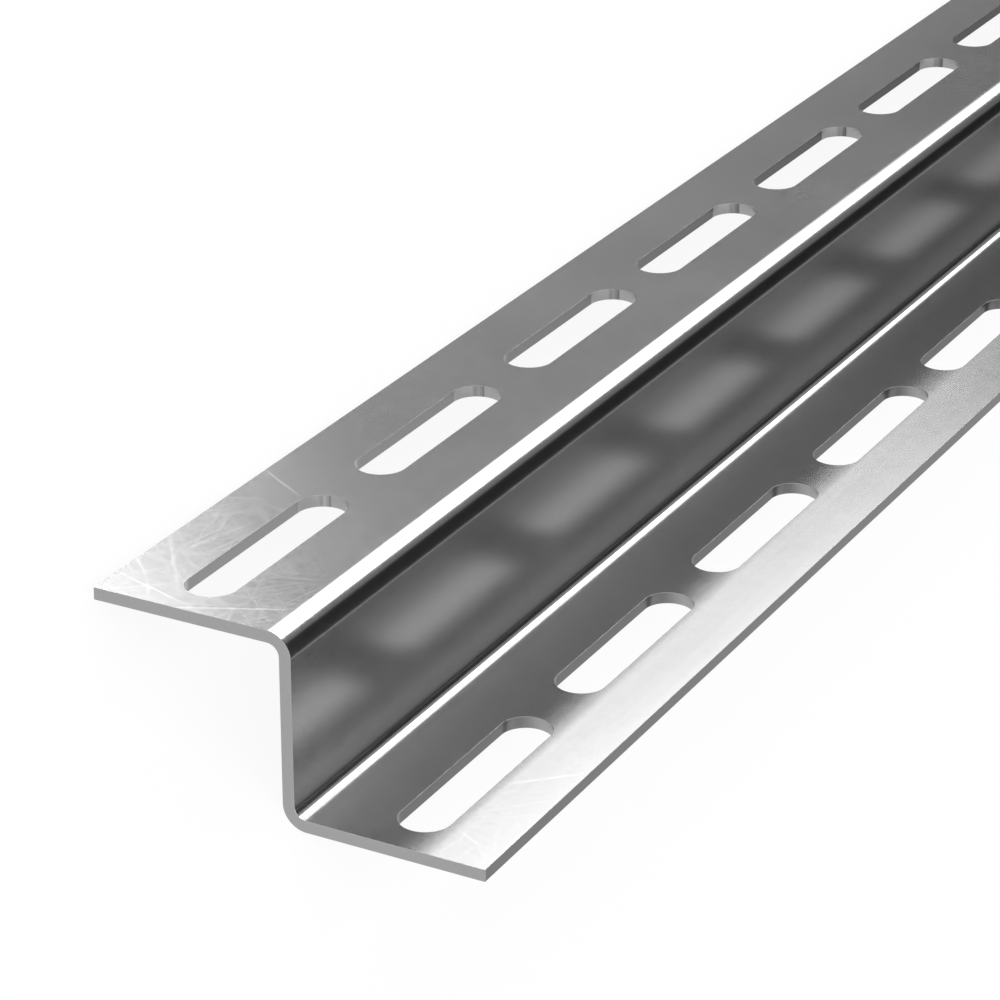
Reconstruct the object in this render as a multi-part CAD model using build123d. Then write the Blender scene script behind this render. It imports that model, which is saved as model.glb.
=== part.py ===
"""Slotted Z-section profile: one strip of sheet steel, bent twice, with a row of slots in each flange.

The section is drawn about its own middle, with the web upright and the flanges to either side.
The length runs along Y. Last of all the stock is rolled onto the two edges that it lies on.
"""

from build123d import *
import math
import os

# The sheet
sheet_thickness = 2.0

# The section: height over both flanges, and each flange over the web
section_height = 32.0
flange_width = 34.0
inner_bend_radius = 2.0

# The length that the stock is sold in
stock_length = 2000.0

# The slots: round-ended, in one row along each flange
slot_width = 8.5
slot_length = 40.0
bridge_between_slots = 10.0
slot_line_from_edge = 15.0

# What follows from those sizes
outer_bend_radius = inner_bend_radius + sheet_thickness
half_sheet = sheet_thickness / 2
half_height = section_height / 2
flange_reach = flange_width - half_sheet
slot_pitch = slot_length + bridge_between_slots
slots_per_flange = math.floor(stock_length / slot_pitch)
slot_line_reach = flange_reach - slot_line_from_edge


def bent_strip():
    """The strip's face line, with its two opposite bends, thickened by the sheet and carried along Y."""
    upper_edge = (-flange_reach, half_height - sheet_thickness)
    upper_bend = (-half_sheet, half_height - sheet_thickness)
    lower_bend = (-half_sheet, -half_height)
    lower_edge = (flange_reach, -half_height)
    with BuildPart() as strip:
        with BuildSketch(Plane.XZ):
            with BuildLine():
                FilletPolyline(
                    upper_edge,
                    upper_bend,
                    lower_bend,
                    lower_edge,
                    radius=(inner_bend_radius, outer_bend_radius),
                )
                offset(amount=sheet_thickness, side=Side.LEFT)
            make_face()
        extrude(amount=stock_length / 2, both=True)
    return strip.part


def lower_flange_slots():
    """The punch marks of one row: round-ended slots, evenly spaced, as deep as the sheet is thick."""
    flange_underside = Plane.XY.offset(-half_height)
    with BuildPart() as punches:
        with BuildSketch(flange_underside):
            with Locations((slot_line_reach, 0)):
                with GridLocations(0, slot_pitch, 1, slots_per_flange):
                    SlotOverall(slot_length, slot_width, rotation=90)
        extrude(amount=sheet_thickness)
    return punches.part


def slotted_profile():
    """The strip with both rows cut. Half a turn about the length carries one flange to the other."""
    lower_row = lower_flange_slots()
    upper_row = lower_row.rotate(Axis.Y, 180)
    return bent_strip() - lower_row - upper_row


def resting_roll():
    """How far the profile rolls over before it lies still, on one bend and the far flange's edge.

    The line it lies on starts at the underside of the upper flange's edge and touches the round
    of the lower bend. Its angle is that of the line to the bend's centre, and the angle there
    between that line and the tangent, added.
    """
    across = flange_reach - half_sheet + outer_bend_radius
    down = section_height - sheet_thickness - outer_bend_radius
    to_centre = math.hypot(across, down)
    return math.degrees(math.atan2(down, across) + math.asin(outer_bend_radius / to_centre))


def lying_on_the_floor(part):
    """Rolled to rest, then moved so that the floor is Z = 0 and the part is centred above the origin."""
    rolled = part.rotate(Axis.Y, -resting_roll())
    box = rolled.bounding_box()
    middle = box.center()
    return rolled.moved(Location((-middle.X, -middle.Y, -box.min.Z)))


def main():
    os.makedirs("parts", exist_ok=True)
    z_profile = lying_on_the_floor(slotted_profile())
    export_step(z_profile, "parts/z_profile.step")


main()
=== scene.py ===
"""Slotted Z-section profile of satin zinc-coated sheet, lying on a pale studio floor.

The profile is worked out as its maker makes it: a flat blank with punched slots, then two bends.
Blank measures are: across, from the upper flange's cut edge over the middle layer of the sheet;
along, which is Y; and off, from the middle layer towards the face that the camera sees.
"""

import math

import bpy
import numpy as np
from mathutils import Matrix, Vector


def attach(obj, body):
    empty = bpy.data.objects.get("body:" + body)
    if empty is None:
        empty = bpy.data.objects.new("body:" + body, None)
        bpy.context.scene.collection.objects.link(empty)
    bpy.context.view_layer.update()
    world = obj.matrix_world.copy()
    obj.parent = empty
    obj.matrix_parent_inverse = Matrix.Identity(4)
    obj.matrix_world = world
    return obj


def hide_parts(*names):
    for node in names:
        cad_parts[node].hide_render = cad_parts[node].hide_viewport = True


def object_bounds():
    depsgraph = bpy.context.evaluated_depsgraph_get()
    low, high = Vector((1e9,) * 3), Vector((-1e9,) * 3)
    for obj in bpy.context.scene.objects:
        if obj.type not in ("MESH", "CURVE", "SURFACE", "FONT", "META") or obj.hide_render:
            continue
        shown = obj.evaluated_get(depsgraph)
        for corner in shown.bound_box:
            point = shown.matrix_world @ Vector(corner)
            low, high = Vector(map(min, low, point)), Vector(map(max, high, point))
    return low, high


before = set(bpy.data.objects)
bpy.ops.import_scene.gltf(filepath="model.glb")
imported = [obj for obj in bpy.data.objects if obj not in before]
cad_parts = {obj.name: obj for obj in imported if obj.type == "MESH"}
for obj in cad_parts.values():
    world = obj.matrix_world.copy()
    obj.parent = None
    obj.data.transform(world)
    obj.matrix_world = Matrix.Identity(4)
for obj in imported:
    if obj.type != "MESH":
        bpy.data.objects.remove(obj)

cad_low, cad_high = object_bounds()

# The sheet and the section, in metres
sheet_thickness = 0.002
section_height = 0.032
flange_width = 0.034
inner_bend_radius = 0.002

# The slots
slot_width = 0.0085
slot_length = 0.040
bridge_between_slots = 0.010
slot_line_from_edge = 0.015

# The sheared and punched edges are broken by this small round
edge_round = 0.00003

# What follows from those sizes
half_sheet = sheet_thickness / 2
outer_bend_radius = inner_bend_radius + sheet_thickness
middle_bend_radius = inner_bend_radius + half_sheet
flange_flat = flange_width - outer_bend_radius
web_flat = section_height - 2 * outer_bend_radius
bend_length = middle_bend_radius * math.pi / 2
blank_width = 2 * flange_flat + 2 * bend_length + web_flat
slot_pitch = slot_length + bridge_between_slots
slot_end_radius = slot_width / 2
slot_straight = slot_length - slot_width

# The frame gives the stock's length and the middle of the section where it lies
stock_length = cad_high[1] - cad_low[1]
slots_per_flange = math.floor(stock_length / slot_pitch + 0.5)
middle_height = (cad_low[2] + cad_high[2]) / 2

# Places across the blank that the finishes go by, in millimetres
blank_middle = 500 * blank_width
upper_bend_start = 1000 * flange_flat
web_top = 1000 * (flange_flat + bend_length)
web_foot = 2 * blank_middle - web_top
lower_bend_end = 2 * blank_middle - upper_bend_start
upper_slot_line = 1000 * slot_line_from_edge
lower_slot_line = 2 * blank_middle - upper_slot_line

# How finely the curves are cut: a quarter of a slot's round end, a slot's straight side, a bend,
# the web and a quarter of an edge's round
quarter_steps, side_steps, bend_steps, web_steps, round_steps = 5, 4, 12, 2, 2

# Where the rings between a slot's outline and its cell's lie, as shares of the way to the cell's
ring_shares = (0, 0.3, 1)

# Points that are equal to this many digits of a metre are one point of the mesh
place_digits = 7


def resting_roll():
    """How far the profile has rolled over, in radians, onto one bend and the far flange's edge.

    The line that it lies on starts at the underside of the upper flange's edge and touches the
    round of the lower bend: the angle of the line to the bend's centre, and the angle there
    between that line and the tangent, added.
    """
    reach = flange_width - sheet_thickness + outer_bend_radius
    drop = section_height - sheet_thickness - outer_bend_radius
    return math.atan2(drop, reach) + math.asin(outer_bend_radius / math.hypot(reach, drop))


roll = resting_roll()


def rolled(right, up):
    """A place or direction of the upright section, turned by the roll: the plain rotation about Y."""
    return right * math.cos(roll) - up * math.sin(roll), right * math.sin(roll) + up * math.cos(roll)


def bent(across, along, off):
    """Where points of the blank lie once it is bent and rolled, and the sheet's directions there.

    The middle layer runs flat, turns a quarter clockwise on the middle radius, runs down the web,
    turns a quarter back and runs flat again. The place is the sum of those five stretches, each
    clipped to its own length, plus off times the direction square to the sheet.
    """
    first = np.clip((across - flange_flat) / bend_length, 0, 1) * math.pi / 2
    web = np.clip(across - flange_flat - bend_length, 0, web_flat)
    second = np.clip((across - flange_flat - bend_length - web_flat) / bend_length, 0, 1) * math.pi / 2
    last = np.maximum(across - flange_flat - 2 * bend_length - web_flat, 0)
    turn_right = middle_bend_radius * (np.sin(first) + 1 - np.cos(second))
    turn_down = middle_bend_radius * (1 - np.cos(first) + np.sin(second))
    heading = second - first
    right = half_sheet - flange_width + np.minimum(across, flange_flat) + turn_right + last
    up = section_height / 2 - half_sheet - turn_down - web
    x, z = rolled(right - off * np.sin(heading), up + off * np.cos(heading))
    over = rolled(np.cos(heading), np.sin(heading))
    square = rolled(-np.sin(heading), np.cos(heading))
    still = np.zeros_like(x)
    place = np.stack([x, along + still, z + middle_height], -1)
    return place, np.stack([over[0], still, over[1]], -1), np.stack([square[0], still, square[1]], -1)


class Sheet:
    """Grids of the sheet's surface in blank measures, gathered and then bent into one closed mesh."""

    def __init__(self):
        self.places, self.leans, self.blanks, self.faces, self.finishes = [], [], [], [], []
        self.count = 0

    def add(self, across, along, off, lean, finish):
        """Rows by columns of points, or a stack of such grids, and which way the surface looks there.

        The lean's three numbers are its shares of the directions across, along and off.
        """
        across, along, off, *lean = np.broadcast_arrays(across, along, off, *lean)
        place, over, square = bent(across, along, off)
        lengthwise = np.array([0.0, 1.0, 0.0])
        looks = lean[0][..., None] * over + lean[1][..., None] * lengthwise + lean[2][..., None] * square
        self.places.append(place.reshape(-1, 3))
        self.leans.append(looks.reshape(-1, 3))
        self.blanks.append(np.stack([across, along - cad_low[1], off], -1).reshape(-1, 3))
        number = self.count + np.arange(across.size).reshape(across.shape)
        corners = number[..., :-1, :-1], number[..., :-1, 1:], number[..., 1:, 1:], number[..., 1:, :-1]
        self.faces.append(np.stack(corners, -1).reshape(-1, 4))
        self.finishes.append(np.full(len(self.faces[-1]), finish))
        self.count += across.size

    def mesh(self, name):
        """One mesh: points at one place become one, and each face is turned the way it looks.

        A face with two of its corners at one place becomes a triangle. One whose corners lie at only
        one or two places is left out.
        """
        places, leans, blanks = (np.concatenate(v) for v in (self.places, self.leans, self.blanks))
        faces, finishes = np.concatenate(self.faces), np.concatenate(self.finishes)
        _, first, same = np.unique(
            np.round(places, place_digits), axis=0, return_index=True, return_inverse=True)
        places, leans, blanks, faces = places[first], leans[first], blanks[first], same.reshape(-1)[faces]
        diagonals = places[faces[:, 2]] - places[faces[:, 0]], places[faces[:, 3]] - places[faces[:, 1]]
        inward = (np.cross(*diagonals) * leans[faces].sum(1)).sum(1) < 0
        faces[inward] = faces[inward][:, ::-1]
        doubled = faces == np.roll(faces, -1, axis=1)
        whole, pinched = doubled.sum(1) == 0, doubled.sum(1) == 1
        start = np.argmax(doubled[pinched], axis=1)[:, None]
        corners = np.take_along_axis(faces[pinched], (start + np.arange(1, 4)) % 4, 1)
        mesh = bpy.data.meshes.new(name)
        mesh.from_pydata(places.tolist(), [], faces[whole].tolist() + corners.tolist())
        mesh.polygons.foreach_set("material_index", np.concatenate([finishes[whole], finishes[pinched]]))
        mesh.polygons.foreach_set("use_smooth", np.ones(len(mesh.polygons), bool))
        blank = mesh.attributes.new("blank", "FLOAT_VECTOR", "POINT")
        blank.data.foreach_set("vector", blanks.astype(np.float32).ravel())
        mesh.update()
        mesh.normals_split_custom_set_from_vertices(leans.tolist())
        return mesh


# The order of the two finishes on the piece
sheet_face, cut_edge = 0, 1

# Both faces of the sheet, as the sign of their off measure
both_faces = (1, -1)

# A slot's outline and the outline of its cell are walked in step, from the left end of the near
# half circle anticlockwise. These are the steps at which a cell's outline turns or a side begins.
turns = np.cumsum([0] + [quarter_steps, 2 * quarter_steps, quarter_steps, side_steps] * 2)
steps = np.arange(turns[-1] + 1)


def slot_outline():
    """A slot's outline, drawn edge_round outside its wall about its middle, and the way into it.

    Half circles about the two ends' centres and straight sides between: the way out turns evenly
    on the half circles and stands still on the sides, and the point is centre plus radius times it.
    """
    half_turns = [0, math.pi, math.pi, 2 * math.pi, 2 * math.pi]
    angle = math.pi + np.interp(steps, turns[[0, 3, 4, 7, 8]], half_turns)
    centre = np.interp(steps, turns[[0, 3, 4, 7, 8]], np.array([-1, -1, 1, 1, -1]) * slot_straight / 2)
    radius = slot_end_radius + edge_round
    return radius * np.cos(angle), centre + radius * np.sin(angle), -np.cos(angle), -np.sin(angle)


def cells():
    """The slots' middles and their cells' two ends along Y, one pitch long each.

    The stock's two ends are drawn in by the edge's round.
    """
    middles = (np.arange(slots_per_flange) - (slots_per_flange - 1) / 2) * slot_pitch
    near, far = middles - slot_pitch / 2, middles + slot_pitch / 2
    near[0], far[-1] = edge_round - stock_length / 2, stock_length / 2 - edge_round
    return middles[:, None], near[:, None], far[:, None]


def cell_outline():
    """Each cell's outline, one point for each of its slot's: across once, along for every cell.

    Straight runs between the corners, and a stop on each long side where the slot's side begins.
    """
    low, high, half = edge_round, flange_flat, slot_straight / 2
    middles, near, far = cells()
    across = np.interp(steps, turns, [low, low, high, high, high, high, low, low, low])
    share_near = np.interp(steps, turns, [0, 1, 1, 0, 0, 0, 0, 0, 0])
    share_far = np.interp(steps, turns, [0, 0, 0, 0, 0, 1, 1, 0, 0])
    stop = np.interp(steps, turns, np.array([-1, 0, 0, -1, 1, 0, 0, 1, -1]) * half)
    share_middle = 1 - share_near - share_far
    return across, share_near * near + share_far * far + share_middle * middles + stop


def rounded_edge(sheet, across, along, out_across, out_along):
    """The cut edge along an outline: a quarter round off each face and the plain wall between.

    The outline lies edge_round inside the wall on the flat face. A point of the profile goes out by
    edge_round times the sine of the profile's angle, which runs from one face round to the other.
    """
    angle = np.linspace(0, math.pi / 2, round_steps + 1)
    for face in both_faces:
        reach, rise = np.sin(angle)[:, None], np.cos(angle)[:, None] * face
        off = face * (half_sheet - edge_round) + edge_round * rise
        lean = reach * out_across, reach * out_along, rise
        place = across + edge_round * reach * out_across, along + edge_round * reach * out_along
        sheet.add(place[0], place[1], off, lean, sheet_face)
    off = np.array(both_faces)[:, None] * (half_sheet - edge_round)
    sheet.add(across + edge_round * out_across, along + edge_round * out_along, off,
              (out_across, out_along, 0.0), cut_edge)


def slotted_flanges(sheet):
    """Both flanges' faces and their slots: rings drawn between each slot's outline and its cell's.

    A ring is the slot's outline times one share plus the cell's outline times the rest. The second
    flange is the first one mirrored over the blank's middle.
    """
    rim_across, rim_along = cell_outline()
    slot_across, slot_along, into_across, into_along = slot_outline()
    middles = cells()[0]
    share = np.array(ring_shares)[:, None]
    across = (1 - share) * (slot_line_from_edge + slot_across) + share * rim_across
    along = (1 - share) * (middles + slot_along)[:, None, :] + share * rim_along[:, None, :]
    wall_along = (middles + slot_along)[:, None, :]
    for mirror in (1, -1):
        place = blank_width / 2 + mirror * (across - blank_width / 2)
        wall = blank_width / 2 + mirror * (slot_line_from_edge + slot_across - blank_width / 2)
        for face in both_faces:
            sheet.add(place, along, face * half_sheet, (0.0, 0.0, float(face)), sheet_face)
        wall = wall[None, None, :] + 0 * wall_along
        rounded_edge(sheet, wall, wall_along, mirror * into_across, into_along)


def section_steps():
    """Measures across the blank at which the section has a point, from one cut edge to the other."""
    flat = np.linspace(edge_round, flange_flat, 2 * quarter_steps + 1)
    bend = flange_flat + np.linspace(0, bend_length, bend_steps + 1)[1:]
    web = flange_flat + bend_length + np.linspace(0, web_flat, web_steps + 1)[1:]
    half = np.concatenate([flat, bend])
    return np.concatenate([half, web[:-1], (blank_width - half)[::-1]])


def length_steps():
    """Measures along Y at which the long sides of the cells have a point."""
    along = cell_outline()[1][:, turns[2]:turns[5] + 1]
    return np.concatenate([along[:, :-1].ravel(), along[-1, -1:]])


def bends_and_web(sheet):
    """Both faces of the two bends and the web, as one grid over the blank between the flanges."""
    across = section_steps()
    between = across[2 * quarter_steps:len(across) - 2 * quarter_steps]
    along = length_steps()[:, None]
    for face in both_faces:
        sheet.add(between, along, face * half_sheet, (0.0, 0.0, float(face)), sheet_face)


def outer_edges(sheet):
    """The stock's two long cut edges and its two sawn ends.

    One closed outline round the blank. At each corner the way out turns a quarter while the point
    stands still, which closes the corner with a round of the same radius.
    """
    across, along = section_steps(), length_steps()
    turn = np.linspace(0, math.pi / 2, round_steps + 1)
    ones, still = np.ones_like, np.zeros_like
    low, high, near, far = across[0], across[-1], along[0], along[-1]
    walk_across = [across, high + 0 * turn, high + 0 * along, high + 0 * turn,
                   across[::-1], low + 0 * turn, low + 0 * along, low + 0 * turn]
    walk_along = [near + 0 * across, near + 0 * turn, along, far + 0 * turn,
                  far + 0 * across, far + 0 * turn, along[::-1], near + 0 * turn]
    out_across = [still(across), np.sin(turn), ones(along), np.cos(turn),
                  still(across), -np.sin(turn), -ones(along), -np.cos(turn)]
    out_along = [-ones(across), -np.cos(turn), still(along), np.sin(turn),
                 ones(across), np.cos(turn), still(along), -np.sin(turn)]
    rounded_edge(sheet, *(np.concatenate(v) for v in (walk_across, walk_along, out_across, out_along)))


def z_profile():
    """The whole stock as one closed piece."""
    sheet = Sheet()
    slotted_flanges(sheet)
    bends_and_web(sheet)
    outer_edges(sheet)
    piece = bpy.data.objects.new("slotted_z_profile", sheet.mesh("slotted_z_profile"))
    bpy.context.scene.collection.objects.link(piece)
    return piece


class Wire:
    """One output of a node. Sums, products and remainders of wires add their Math nodes."""

    def __init__(self, finish, socket):
        self.finish, self.socket = finish, socket

    def math(self, operation, *values):
        return self.finish.node("ShaderNodeMath", {"operation": operation}, dict(enumerate(values)))

    def __add__(self, other):
        return self.math("ADD", self, other)

    def __sub__(self, other):
        return self.math("SUBTRACT", self, other)

    def __rsub__(self, other):
        return self.math("SUBTRACT", other, self)

    def __mul__(self, other):
        return self.math("MULTIPLY", self, other)

    def __mod__(self, other):
        return self.math("MODULO", self, other)

    def __abs__(self):
        return self.math("ABSOLUTE", self)

    __radd__, __rmul__ = __add__, __mul__

    def larger(self, other):
        return self.math("MAXIMUM", self, other)

    def step(self, start, end):
        """0 up to start, 1 from end, and a smooth rise between."""
        settings = {"interpolation_type": "SMOOTHSTEP"}
        return self.finish.node("ShaderNodeMapRange", settings, {0: self, 1: start, 2: end})


class Finish:
    """A material, or the room's light, being made from nodes."""

    def __init__(self, owner):
        owner.use_nodes = True
        self.owner = owner
        self.tree = owner.node_tree
        self.tree.nodes.clear()

    def node(self, kind, settings, sockets, output=0):
        """Adds a node: its settings first, then the value or wire of each named or numbered socket."""
        node = self.tree.nodes.new(kind)
        for name, value in settings.items():
            setattr(node, name, value)
        for name, value in sockets.items():
            if isinstance(value, Wire):
                self.tree.links.new(value.socket, node.inputs[name])
            else:
                node.inputs[name].default_value = value
        return Wire(self, node.outputs[output]) if node.outputs else node

    def vector(self, operation, first, second, output=0):
        """Vector maths. Output 1 is the number that a distance or a dot product gives."""
        return self.node("ShaderNodeVectorMath", {"operation": operation}, {0: first, 1: second}, output)

    def blend(self, share, first, second):
        """The second colour laid over the first by a share."""
        return self.node("ShaderNodeMix", {"data_type": "RGBA"}, {0: share, 6: first, 7: second}, output=2)

    def noise(self, place, scale, detail):
        return self.node("ShaderNodeTexNoise", {}, {"Vector": place, "Scale": scale, "Detail": detail})

    def ray(self, kind):
        """1 for rays of one kind, and 0 for all others."""
        return self.node("ShaderNodeLightPath", {}, {}, output=kind)

    def blank_place(self, weights):
        """Across, along from the near end, and off, in millimetres, each times a weight of its own."""
        blank = self.node("ShaderNodeAttribute", {"attribute_name": "blank"}, {}, output=1)
        return self.vector("MULTIPLY", blank, tuple(1000 * weight for weight in weights))

    def across_and_along(self, place):
        """The first two numbers of a place on the blank."""
        across = self.node("ShaderNodeSeparateXYZ", {}, {0: place})
        return across, Wire(self, across.socket.node.outputs[1])

    def laid_on(self, shader, output="ShaderNodeOutputMaterial"):
        """Ends the nodes in a shader, and gives back the material or the room that they are for."""
        self.node(output, {}, {"Surface": shader})
        return self.owner


def grey(value):
    return value, value, value, 1.0


def new_material(name):
    return Finish(bpy.data.materials.new(name))


def strokes(finish, place, heading, spacing, length, seed):
    """Short fine scratches near one heading: 1 on a scratch and 0 off it.

    A noise is stretched to the length along the heading and to the spacing over it, and a scratch
    is where it peaks.
    """
    turned = finish.node("ShaderNodeMapping", {"vector_type": "TEXTURE"}, {
        "Vector": place, "Location": (seed, 2.3 * seed, 0.0), "Rotation": (0.0, 0.0, heading),
        "Scale": (length, spacing, 1.0)})
    return finish.noise(turned, 1.0, 0.0).step(0.54, 0.74)


def scratch(finish, place, start, end, width, depth):
    """One straight scratch between two points, each as along from the near end and across, in mm.

    Its depth on the line, falling off over the width to either side, and faded at both ends.
    """
    run_along, run_across = end[0] - start[0], end[1] - start[1]
    length = math.hypot(run_along, run_across)
    ahead = (run_across / length, run_along / length, 0.0)
    aside = (run_along / length, -run_across / length, 0.0)
    here = finish.vector("SUBTRACT", place, (start[1], start[0], 0.0))
    gone = finish.vector("DOT_PRODUCT", here, ahead, output=1)
    away = finish.vector("DOT_PRODUCT", here, aside, output=1)
    ends = gone.step(-1.0, 4.0) * (1 - gone.step(length - 5.0, length + 1.0))
    return depth * (1 - abs(away).step(0.0, width)) * ends


def most(wires):
    """The largest of several values."""
    largest = wires[0]
    for wire in wires[1:]:
        largest = largest.larger(wire)
    return largest


def handling_scratches(finish, place):
    """The scratches where the stock was dragged and stacked, most of them at its near corner.

    Each has its start and end, as along and across in millimetres, its width and its depth.
    """
    lines = [
        ((13.5, -2.0), (6.8, 5.0), 0.45, 0.6),
        ((6.8, 5.0), (0.0, 9.8), 0.40, 0.5),
        ((6.9, -2.0), (1.5, 15.5), 0.35, 0.5),
        ((0.0, 1.5), (8.0, 11.0), 0.40, 0.4),
        ((22.0, -1.0), (3.5, 12.8), 0.60, 0.3),
        ((19.0, 5.6), (34.0, 9.6), 0.35, 0.3),
        ((50.0, -2.5), (41.5, 11.5), 0.40, 0.5),
        ((-1.0, 12.0), (7.6, 30.0), 0.35, 0.7),
        ((1.0, 23.5), (5.5, 26.3), 0.35, 0.4),
        ((33.0, -1.0), (23.5, 10.0), 0.40, 0.2),
        ((21.5, 20.3), (15.5, 26.8), 0.40, 0.2),
        ((64.0, 8.0), (74.0, 2.5), 0.40, 0.2),
        ((24.0, 84.0), (33.0, 93.4), 0.50, 0.4),
        ((9.0, 83.5), (5.5, 90.0), 0.50, 0.3),
    ]
    return most([scratch(finish, place, *line) for line in lines])


def smudge(finish, along, across, reach):
    """A soft dirty spot, in millimetres: 1 at its middle, 0 at its reach, broken up by a fine noise."""
    place = finish.blank_place((1.0, 1.0, 1.0))
    away = finish.vector("DISTANCE", place, (across, along, 1000 * half_sheet), output=1)
    return (1 - away.step(0.3 * reach, reach)) * finish.noise(place, 0.8, 2.0).step(0.35, 0.65)


# How much light the zinc and the cut steel mirror, and how rough they are, before any marks
zinc_tone, zinc_roughness = 0.385, 0.19
steel_tone, steel_roughness = 0.36, 0.34

# How much the zinc mirrors when it is seen almost flat along, as a share of clean metal
grazing_tone = 0.6


def zinc_coated_sheet():
    """Satin zinc on rolled sheet: a cloudy grey, with handling scratches near the near end.

    The tone differs by place, and this paints light and shade into the colour: painted shade on
    the upper flange, more so further along, and on the web further along, a painted highlight on the
    upper bend, and painted reflected light from the lower bend to the middle of the lower flange.
    The web is a little duller too. The off measure counts 20 times in the noises, so that the
    sheet's two faces have patterns of their own.
    """
    finish = new_material("satin_zinc_sheet")
    place = finish.blank_place((1.0, 1.0, 20.0))
    across, along = finish.across_and_along(place)
    cloud = finish.noise(place, 0.035, 2.0) - 0.5
    mottle = finish.noise(place, 0.35, 1.0) - 0.5
    rolling = finish.noise(finish.blank_place((0.8, 0.02, 20.0)), 1.0, 0.0)

    headings = (0.3, 0.8, 1.35, 1.9, 2.4, 2.9)
    rubs = most([strokes(finish, place, heading, spacing=0.6, length=16.0, seed=11.0 * number + 3.0)
                 for number, heading in enumerate(headings)])
    from_the_edge = blank_middle - abs(across - blank_middle)
    handled = 1 - (along + 1.2 * from_the_edge).step(20.0, 85.0)
    rubs = rubs * (0.06 + 0.94 * handled) * (1 - 0.6 * across.step(web_foot - 2.7, lower_bend_end + 2.6))
    marks = handling_scratches(finish, place)
    dirt = smudge(finish, along=206.0, across=21.0, reach=10.0)

    # Painted shade: the upper flange is darker, and more so over the first 0.4 m along it
    painted_shade_on_flange = 1 - across.step(upper_bend_start - 0.4, upper_bend_start + 0.6)
    # Painted highlight: the upper bend's crest is lighter, so that its reflection of the lamps reaches
    # white
    painted_highlight_on_bend = across.step(upper_bend_start - 0.2, upper_bend_start + 0.6)
    painted_highlight_on_bend = painted_highlight_on_bend * (1 - across.step(upper_bend_start + 1.2, upper_bend_start + 2.2))
    on_web = across.step(web_top + 0.3, web_top + 3.3) * (1 - across.step(web_foot - 3.7, web_foot - 0.2))
    tone = zinc_tone - painted_shade_on_flange * (0.05 + 0.07 * along.step(50.0, 400.0)) + 0.08 * painted_highlight_on_bend
    # Painted shade: the web grows darker further along (its extra roughness above is real dullness)
    tone = tone - 0.04 * on_web * along.step(0.0, 400.0)
    # Painted reflected light: lighter from the lower bend to the middle of the lower flange
    tone = tone + 0.21 * across.step(web_foot - 6.7, web_foot + 1.3)
    tone = tone - 0.19 * across.step(lower_bend_end + 2.6, lower_slot_line + 1.6)
    tone = tone + 0.03 * cloud + 0.02 * mottle + 0.06 * rubs + 0.16 * marks - 0.12 * dirt
    rough = zinc_roughness + 0.03 * cloud + 0.02 * mottle + 0.02 * rubs + 0.03 * marks + 0.05 * dirt
    rough = rough + 0.045 * on_web

    bump = finish.node("ShaderNodeBump", {}, {"Strength": 0.02, "Distance": 0.0001, "Height": rolling})
    colour = finish.blend(tone, grey(0.0), grey(1.0))
    return finish.laid_on(finish.node("ShaderNodeBsdfPrincipled", {}, {
        "Base Color": colour, "Metallic": 1.0, "Roughness": rough,
        "Specular Tint": grey(grazing_tone), "Normal": bump}))


def sheared_edge():
    """Bare steel where the sheet was cut: darker and duller, with fine lines across the thickness.

    The slit long edges are darker than the sawn ends. At the round far end of each upper slot a
    thin dark line near the middle is a painted reflection, and from there to the outer wall a painted
    highlight makes the steel brighter. The upper slots' outer walls carry painted light that starts
    bright and grows darker further along, and the lower slots' inner walls carry painted shade.
    """
    finish = new_material("sheared_steel_edge")
    across, along = finish.across_and_along(finish.blank_place((1.0, 1.0, 1.0)))
    lines = finish.noise(finish.blank_place((1.0, 1.0, 0.12)), 4.0, 2.0) - 0.5
    off_the_sawn_end = along.step(0.1, 0.3)
    slit = abs(across - blank_middle).step(blank_middle - 0.4, blank_middle - 0.2) * off_the_sawn_end

    far_centre = 500 * (slot_pitch + slot_straight)
    far_end = (along % (1000 * slot_pitch)).step(far_centre - 0.2, far_centre + 0.2)
    # Painted reflection: a thin dark line near the middle of each upper slot's far round end, and a
    # painted highlight from there to the outer wall
    dark_line_across = upper_slot_line - 1.2
    painted_dark_line = (1 - abs(across - dark_line_across).step(0.15, 0.6)) * (0.15 + 0.12 * along.step(0.0, 250.0))
    painted_sheen = 0.13 * (1 - across.step(dark_line_across, dark_line_across + 0.2))
    painted_sheen = painted_sheen + 0.29 * (1 - across.step(upper_slot_line - 2.8, upper_slot_line - 2.1))

    # Painted light and shade on the slot walls: the upper slots' outer walls are bright near the near end
    # and darker further along, and the lower slots' inner walls are darker
    outer_side = upper_slot_line - 1000 * slot_end_radius
    outer_wall = (1 - across.step(outer_side + 0.15, outer_side + 0.45)) * (1 - slit) * (1 - far_end)
    inner_wall = across.step(web_foot - 2.7, lower_bend_end + 2.6)
    inner_wall = inner_wall * (1 - across.step(lower_slot_line - 3.4, lower_slot_line + 1.2))
    painted_wall_light = outer_wall * (0.23 - 0.44 * along.step(0.0, 300.0))
    painted_wall_light = painted_wall_light - inner_wall * (0.18 + 0.06 * along.step(0.0, 250.0))
    tone = steel_tone + 0.05 * lines - 0.17 * slit + far_end * (painted_sheen - painted_dark_line) + off_the_sawn_end * painted_wall_light
    rough = steel_roughness + 0.08 * lines
    colour = finish.blend(tone, grey(0.0), grey(1.0))
    return finish.laid_on(finish.node("ShaderNodeBsdfPrincipled", {}, {
        "Base Color": colour, "Metallic": 1.0, "Roughness": rough}))


# The share of the floor that the camera sees as plain white, and the grey of the rest, which keeps
# the object's shadow
white_share, floor_tone = 0.92, 0.85

# How strongly the room lights the object, where 1 would be the white that is seen
room_glow = 0.7


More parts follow.
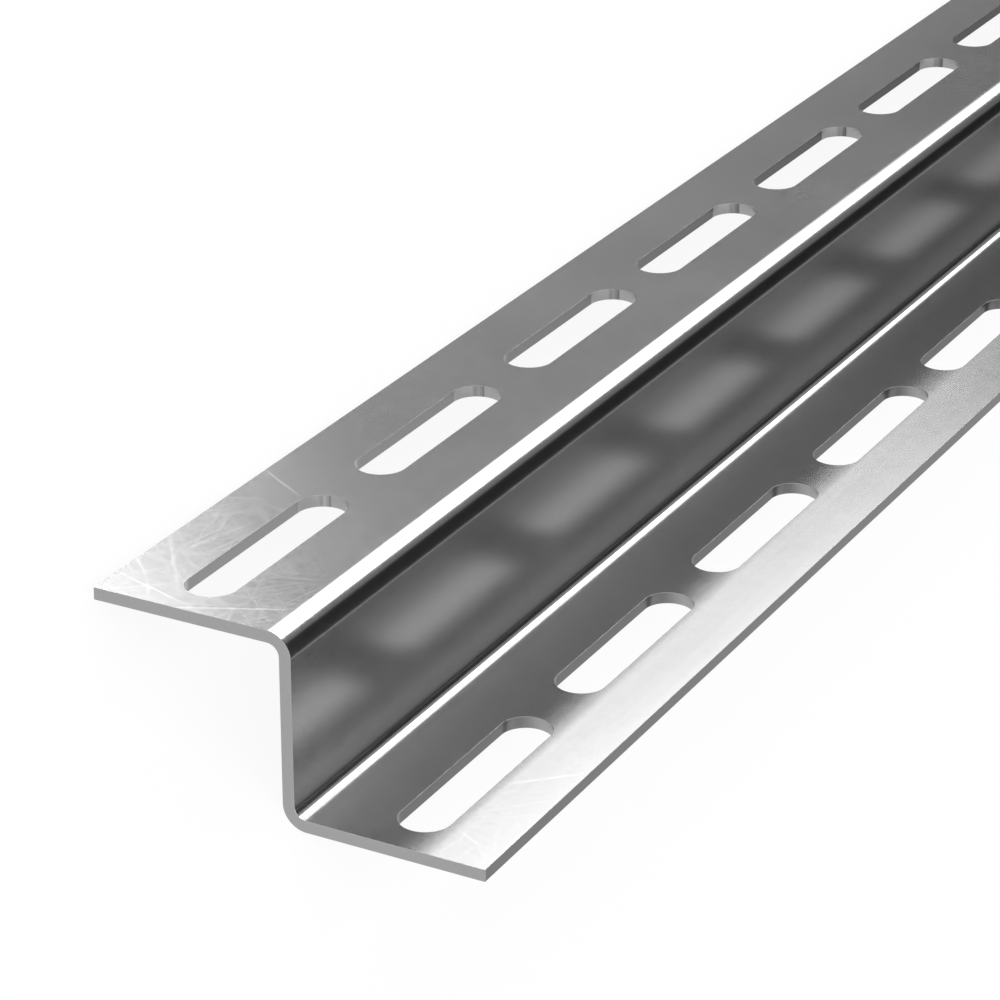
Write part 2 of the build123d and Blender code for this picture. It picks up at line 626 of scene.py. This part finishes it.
def studio_floor():
    """Pale floor that keeps a soft shadow and otherwise shows white, also in the metal."""
    finish = new_material("studio_floor")
    mirrored = finish.ray("Is Glossy Ray").larger(finish.ray("Is Transmission Ray"))
    seen = mirrored.larger(white_share * finish.ray("Is Camera Ray"))
    pale = finish.node("ShaderNodeBsdfDiffuse", {}, {"Color": grey(floor_tone)})
    white = finish.node("ShaderNodeEmission", {}, {"Color": grey(1.0), "Strength": 1.0})
    return finish.laid_on(finish.node("ShaderNodeMixShader", {}, {0: seen, 1: pale, 2: white}))


def pale_room():
    """The room round the studio: white where it is seen, also in the metal, and dimmer as a light."""
    room = Finish(bpy.data.worlds.new("room"))
    mirrored = room.ray("Is Glossy Ray").larger(room.ray("Is Transmission Ray"))
    seen = mirrored.larger(room.ray("Is Camera Ray"))
    strength = room_glow + (1 - room_glow) * seen
    light = room.node("ShaderNodeBackground", {}, {"Color": grey(1.0), "Strength": strength})
    bpy.context.scene.world = room.laid_on(light, "ShaderNodeOutputWorld")


def staged(name, points, faces, material):
    """A plain piece of the studio, not part of the object."""
    mesh = bpy.data.meshes.new(name)
    mesh.from_pydata(points, [], faces)
    mesh.materials.append(material)
    card = bpy.data.objects.new(name, mesh)
    bpy.context.scene.collection.objects.link(card)
    return card


# The camera, set out from the near end's middle of the upright section: right, along, up
camera_stand = (0.2605, -0.4166334, 0.2616562)
camera_heading = math.radians(28.3764)
camera_tilt = math.radians(24.5758)
camera_lens = 136.668

near_end = Matrix.Translation((0.0, cad_low[1], middle_height)) @ Matrix.Rotation(-roll, 4, "Y")


def photographers_camera():
    """The camera keeps its stand against the section while both roll over."""
    camera = bpy.data.objects.new("camera", bpy.data.cameras.new("camera"))
    bpy.context.scene.collection.objects.link(camera)
    camera.data.lens = camera_lens
    turn = Matrix.Rotation(camera_heading, 4, "Z") @ Matrix.Rotation(math.pi / 2 - camera_tilt, 4, "X")
    camera.matrix_world = near_end @ Matrix.Translation(camera_stand) @ turn
    bpy.context.scene.camera = camera


# The point, 15 cm along the stock, that the lamps and screens are set out round, and how far off
# they stand, in metres
lit_point = Vector((0.0, cad_low[1] + 0.15, middle_height))
lamp_distance = 5.0
screen_distance = 5.5
low_screen_distance = 4.0

# How far the floor reaches each way, in metres
floor_reach = 40.0

# The grey of the screens' black cloth, and the points along a screen
cloth_tone, screen_columns = 0.02, 25


def away_from_lit_point(heading, height):
    """A direction by its heading, from +Y to the right, and its height above the floor, in degrees."""
    turn, rise = math.radians(heading), math.radians(height)
    return Vector((math.sin(turn) * math.cos(rise), math.cos(turn) * math.cos(rise), math.sin(rise)))


def softbox(name, headings, heights, glow):
    """A soft lamp that fills the given headings and heights, in degrees, and how bright its face is.

    Each side is twice the distance times the tangent of half the angle that it fills, and the power
    is four times the face's area times its brightness.
    """
    lamp = bpy.data.lights.new(name, "AREA")
    lamp.shape = "RECTANGLE"
    lamp.size = 2 * lamp_distance * math.tan(math.radians(headings[1] - headings[0]) / 2)
    lamp.size_y = 2 * lamp_distance * math.tan(math.radians(heights[1] - heights[0]) / 2)
    lamp.energy = glow * 4 * lamp.size * lamp.size_y
    box = bpy.data.objects.new(name, lamp)
    bpy.context.scene.collection.objects.link(box)
    box.visible_camera = False
    away = away_from_lit_point(sum(headings) / 2, sum(heights) / 2)
    box.location = lit_point + lamp_distance * away
    box.rotation_mode = "QUATERNION"
    box.rotation_quaternion = away.to_track_quat("Z", "Y")


def dark_cloth():
    """The black cloth of the screens."""
    finish = new_material("black_cloth")
    return finish.laid_on(finish.node("ShaderNodeBsdfDiffuse", {}, {"Color": grey(cloth_tone)}))


def dark_screen(name, cloth, headings, heights, distance=screen_distance):
    """A black screen, bent round the lit point, that keeps the pale room off the metal.

    Two rows of points on a circle arc, each at the distance times the tangent of its height's angle.
    """
    turn = np.radians(np.linspace(headings[0], headings[1], screen_columns))
    row = np.stack([lit_point.x + distance * np.sin(turn), lit_point.y + distance * np.cos(turn)], -1)
    low, high = (distance * math.tan(math.radians(height)) for height in heights)
    points = [(x, y, z) for z in (low, high) for x, y in row.tolist()]
    count = len(turn)
    faces = [(n, n + 1, count + n + 1, count + n) for n in range(count - 1)]
    staged(name, points, faces, cloth).visible_camera = False


def studio():
    """Pale floor and room, eight soft lamps, three black screens and the camera."""
    corners = [(floor_reach * x, floor_reach * y, 0) for x, y in ((-1, -1), (1, -1), (1, 1), (-1, 1))]
    staged("floor", corners, [(0, 1, 2, 3)], studio_floor())
    pale_room()
    softbox("main_softbox", headings=(-38, -22), heights=(9, 33), glow=2.0)
    softbox("key_softbox", headings=(-22, -12.6), heights=(20, 46), glow=5.5)
    softbox("shoulder_softbox", headings=(-12, 9), heights=(22, 54), glow=0.22)
    softbox("low_softbox", headings=(-58, -43.7), heights=(0, 2.3), glow=9.2)
    softbox("edge_softbox", headings=(-46, -31), heights=(5.5, 12), glow=2.9)
    softbox("left_softbox", headings=(-90, -60), heights=(8, 60), glow=0.5)
    softbox("right_softbox", headings=(60, 110), heights=(25, 60), glow=2.0)
    softbox("back_softbox", headings=(140, 220), heights=(20, 75), glow=0.5)
    cloth = dark_cloth()
    dark_screen("right_screen", cloth, headings=(-12, 48), heights=(4.3, 50))
    dark_screen("side_screen", cloth, headings=(48, 68), heights=(0, 20))
    dark_screen("low_screen", cloth, headings=(-43, -14), heights=(0, 6), distance=low_screen_distance)
    photographers_camera()
    bpy.context.scene.view_settings.view_transform = "Standard"


profile = z_profile()
profile.data.materials.append(zinc_coated_sheet())
profile.data.materials.append(sheared_edge())
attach(profile, "root")
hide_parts("z_profile")
studio()
